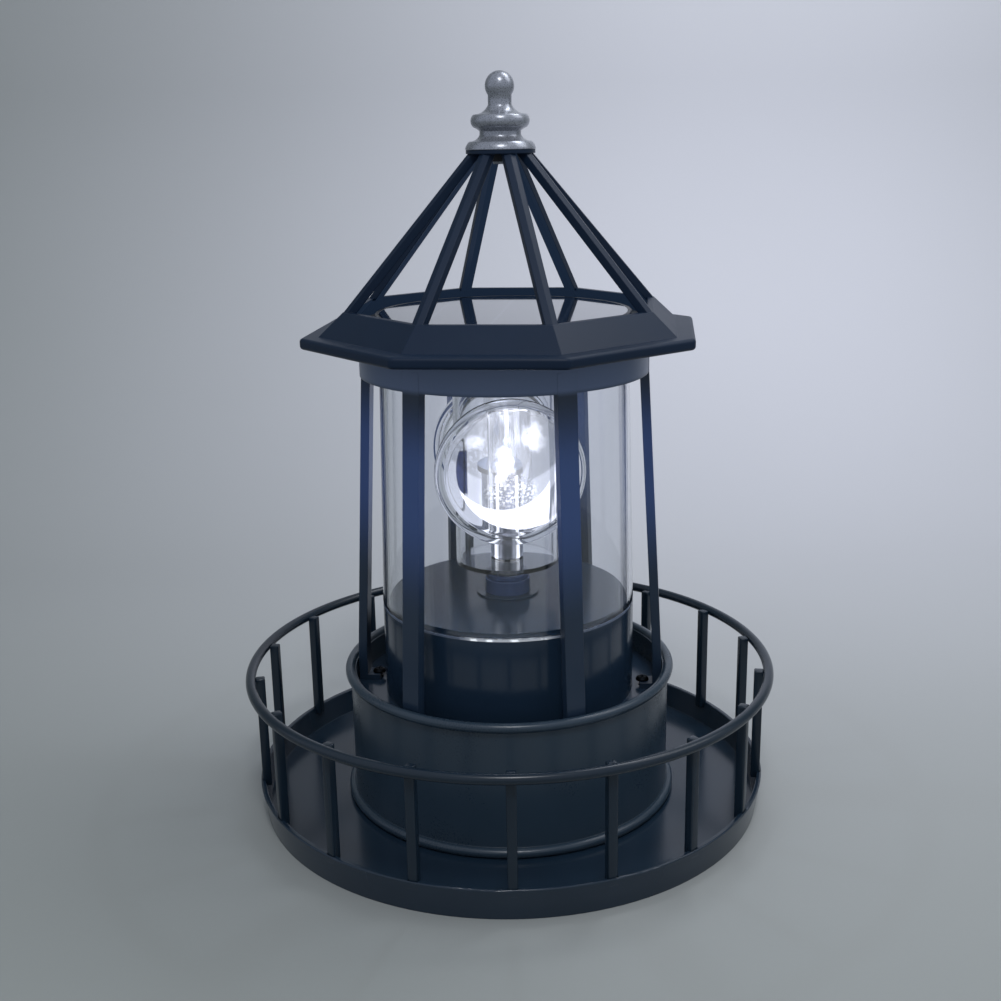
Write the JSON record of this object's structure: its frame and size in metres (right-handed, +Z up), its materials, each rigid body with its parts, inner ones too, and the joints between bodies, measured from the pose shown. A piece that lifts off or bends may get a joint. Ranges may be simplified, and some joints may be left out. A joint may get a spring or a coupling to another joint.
{
  "type": "garden lighthouse ornament",
  "caption": "Free-standing solar lighthouse lamp: railed tray, drum, clear lantern in a post cage, turning lens beacon, and an open eight-sided roof over a solar panel.",
  "frame": {"origin": "middle of the tray's underside, on the surface that the lamp stands on", "axes": "+Z up along the lamp's axis, -Y to the front, +X to the viewer's right"},
  "size_m": [0.225, 0.225, 0.3015],
  "materials": {
    "housing_black": "satin moulded plastic, blue-black, soft reflections",
    "finial_silver": "smooth metallic silver-grey paint",
    "clear_wall": "clear polished plastic",
    "lens_clear": "clear moulded lens plastic",
    "cup_clear": "clear moulded plastic with drawn lines",
    "solar_glass": "glossy resin over dark cells",
    "inner_black": "fine grained black plastic",
    "knob_black": "glossy black",
    "screw_steel": "zinc plated",
    "spring_steel": "bright nickel plated",
    "motor_can": "drawn steel can",
    "gear_white": "natural nylon",
    "stem_metal": "drawn tube",
    "board_green": "green solder mask",
    "part_black": "moulded component bodies",
    "led_board_white": "white solder mask",
    "led_white": "clear epoxy dome, lit cool white",
    "battery_wrap": "plain shrink wrap",
    "lead_black": "soft insulation",
    "seal_clear": "translucent silicone"
  },
  "bodies": {
    "lamp": {"tray": "housing_black", "railing_posts": "housing_black", "railing_ring": "housing_black", "drum": "housing_black", "base_plate": "inner_black", "base_screws": "screw_steel", "battery_box": "inner_black", "battery_door": "inner_black", "door_screw": "screw_steel", "battery": "battery_wrap", "battery_contact": "spring_steel", "battery_spring": "spring_steel", "circuit_board": "board_green", "board_screws": "screw_steel", "board_parts": "part_black", "switch_body": "inner_black", "pedestal": "housing_black", "gear_plate": "inner_black", "gear_plate_screws": "screw_steel", "motor": "motor_can", "motor_screws": "screw_steel", "idler_pin": "spring_steel", "idler_clip": "spring_steel", "beacon_bush": "gear_white", "led_stem": "stem_metal", "led_sleeve": "cup_clear", "led_board": "led_board_white", "led": "led_white", "tube_seal": "seal_clear", "clear_tube": "clear_wall", "top_seal": "seal_clear", "lantern_cage": "housing_black", "cage_screws": "screw_steel", "roof_frame": "housing_black", "roof_screws": "screw_steel", "finial": "finial_silver", "finial_nut": "screw_steel", "panel_holder": "housing_black", "solar_panel": "solar_glass", "panel_lead": "lead_black", "led_lead": "lead_black", "motor_lead": "lead_black", "battery_lead": "lead_black"},
    "beacon": {"beacon_hub": "inner_black", "beacon_gear": "gear_white", "lens_cup": "cup_clear", "cup_nut": "inner_black", "front_lens": "lens_clear", "rear_lens": "lens_clear"},
    "idler": {"idler_gear": "gear_white"},
    "drive": {"motor_pinion": "gear_white", "motor_shaft": "spring_steel"},
    "switch": {"switch_knob": "knob_black"}
  },
  "joints": [
    {"name": "beacon_spin", "type": "hinge", "parent": "lamp", "child": "beacon", "pos_m": [0, 0, 0.1], "axis": [0, 0, 1], "continuous": true},
    {"name": "idler_spin", "type": "hinge", "parent": "lamp", "child": "idler", "pos_m": [0.03, 0, 0.0825], "axis": [0, 0, 1], "continuous": true},
    {"name": "motor_spin", "type": "hinge", "parent": "lamp", "child": "drive", "pos_m": [0.02722, 0.01576, 0.0825], "axis": [0, 0, 1], "continuous": true},
    {"name": "switch_slide", "type": "slide", "parent": "lamp", "child": "switch", "axis": [1, 0, 0], "range_m": [0, 0.003]}
  ],
  "couplings": [
    {"joint": "idler_spin", "follows": "beacon_spin", "ratio": -2},
    {"joint": "motor_spin", "follows": "beacon_spin", "ratio": 3.3333}
  ]
}
